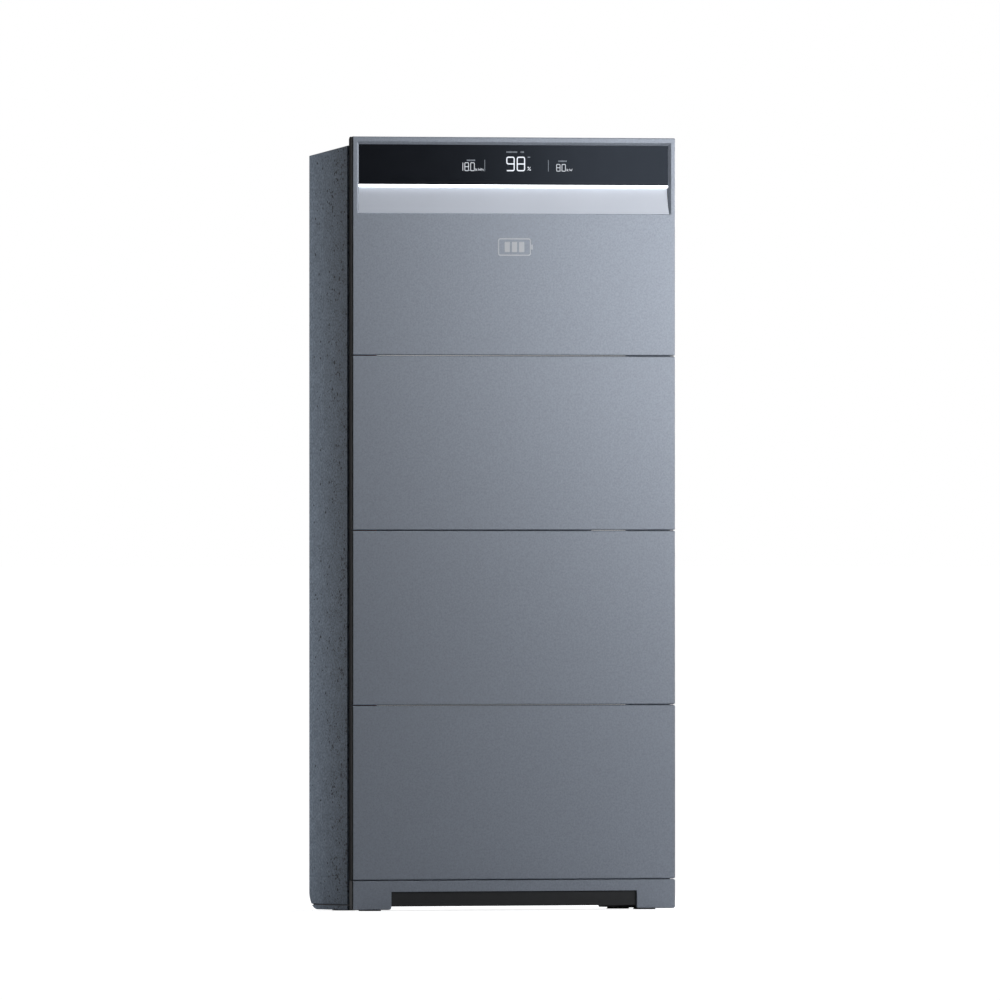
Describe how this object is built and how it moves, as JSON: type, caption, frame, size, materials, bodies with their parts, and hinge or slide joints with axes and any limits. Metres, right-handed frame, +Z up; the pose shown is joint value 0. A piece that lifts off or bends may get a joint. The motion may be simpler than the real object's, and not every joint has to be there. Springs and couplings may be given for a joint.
{
  "type": "home battery stack",
  "caption": "Slim floor-standing home battery: battery modules stacked on a low stand under a power module with a dark display, a light bar and a side service door.",
  "frame": {"origin": "on the floor, under the middle of the stack's outer box", "axes": "+X to the right seen from the front, +Y to the wall behind, +Z up; the front faces -Y"},
  "size_m": [0.67, 0.172, 1.416],
  "materials": {
    "front_paint": "satin metallic grey powder coat",
    "cover_paint": "coarse textured dark grey powder coat",
    "carrier_plastic": "matt black moulding",
    "stand_paint": "black powder coat",
    "black_glass": "polished black window",
    "light_diffuser": "frosted clear bar, lit",
    "reflector_white": "satin pale grey",
    "case_paint": "smooth grey powder coat",
    "cast_alloy": "shot-blasted",
    "zinc_steel": "zinc plated",
    "seal_rubber": "matt",
    "cell_wrap": "blue film on aluminium cans",
    "copper": "plain copper",
    "circuit_board": "green lacquer",
    "converter_parts": "plain",
    "potting": "black resin",
    "capacitor_can": "sleeved",
    "connector_plastic": "orange",
    "guard_plastic": "pale grey",
    "device_plastic": "off-white",
    "device_black": "black",
    "knob_red": "red",
    "gland_nylon": "dark grey nylon",
    "button_ring": "translucent ring, lit",
    "button_cap": "black"
  },
  "bodies": {
    "stack": {"base_end_trims": "cover_paint", "base_frame": "stand_paint", "base_skirt": "front_paint", "battery_boards": "circuit_board", "battery_busbars": "copper", "battery_carrier_1": "carrier_plastic", "battery_carrier_2": "carrier_plastic", "battery_carrier_3": "carrier_plastic", "battery_case_1": "case_paint", "battery_case_2": "case_paint", "battery_case_3": "case_paint", "battery_cells_1": "cell_wrap", "battery_cells_2": "cell_wrap", "battery_cells_3": "cell_wrap", "battery_converters": "converter_parts", "battery_fascia_1": "front_paint", "battery_fascia_2": "front_paint", "battery_fascia_3": "front_paint", "battery_lids": "case_paint", "bay_liner": "carrier_plastic", "breaker_body": "device_plastic", "button_housing": "button_ring", "cable_glands": "gland_nylon", "case_screws": "zinc_steel", "cell_clamps": "zinc_steel", "comm_board": "circuit_board", "dead_front": "guard_plastic", "display_board": "circuit_board", "display_glass": "black_glass", "door_hinge_pins": "zinc_steel", "foot_lock_nuts": "zinc_steel", "heat_sink": "cast_alloy", "inverter_board": "circuit_board", "inverter_capacitors": "capacitor_can", "inverter_chokes": "potting", "isolator_body": "device_black", "lid_seals": "seal_rubber", "light_guide": "light_diffuser", "light_reflector": "reflector_white", "link_plates": "zinc_steel", "power_carrier": "carrier_plastic", "power_case": "cast_alloy", "power_fascia": "front_paint", "power_lid": "case_paint", "side_cover_left": "cover_paint", "side_cover_right": "cover_paint", "stack_couplings": "connector_plastic", "terminal_block": "connector_plastic", "top_cover": "cover_paint", "wall_rail_lower": "stand_paint", "wall_rail_upper": "stand_paint", "wiring_box": "case_paint"},
    "door": {"service_door": "cover_paint"},
    "toggle": {"breaker_lever": "device_black"},
    "handle": {"isolator_knob": "knob_red"},
    "button": {"power_button": "button_cap"},
    "front_left_foot": {"foot_front_left": "zinc_steel"},
    "front_right_foot": {"foot_front_right": "zinc_steel"},
    "rear_left_foot": {"foot_rear_left": "zinc_steel"},
    "rear_right_foot": {"foot_rear_right": "zinc_steel"}
  },
  "joints": [
    {"name": "door_hinge", "type": "hinge", "parent": "stack", "child": "door", "pos_m": [0.3285, 0.044, 1.2255], "axis": [0, 0, 1], "range_deg": [0, 95]},
    {"name": "toggle_pivot", "type": "hinge", "parent": "stack", "child": "toggle", "pos_m": [0.297, -0.028, 1.225], "axis": [0, 1, 0], "range_deg": [0, 80]},
    {"name": "handle_spindle", "type": "hinge", "parent": "stack", "child": "handle", "pos_m": [0.3, 0.016, 1.225], "axis": [1, 0, 0], "range_deg": [0, 90]},
    {"name": "button_press", "type": "slide", "parent": "stack", "child": "button", "axis": [-1, 0, 0], "range_m": [0, 0.0015], "stiffness_N_per_m": 600},
    {"name": "front_left_foot_screw", "type": "slide", "parent": "stack", "child": "front_left_foot", "axis": [0, 0, -1], "range_m": [0, 0.012]},
    {"name": "front_right_foot_screw", "type": "slide", "parent": "stack", "child": "front_right_foot", "axis": [0, 0, -1], "range_m": [0, 0.012]},
    {"name": "rear_left_foot_screw", "type": "slide", "parent": "stack", "child": "rear_left_foot", "axis": [0, 0, -1], "range_m": [0, 0.012]},
    {"name": "rear_right_foot_screw", "type": "slide", "parent": "stack", "child": "rear_right_foot", "axis": [0, 0, -1], "range_m": [0, 0.012]}
  ]
}
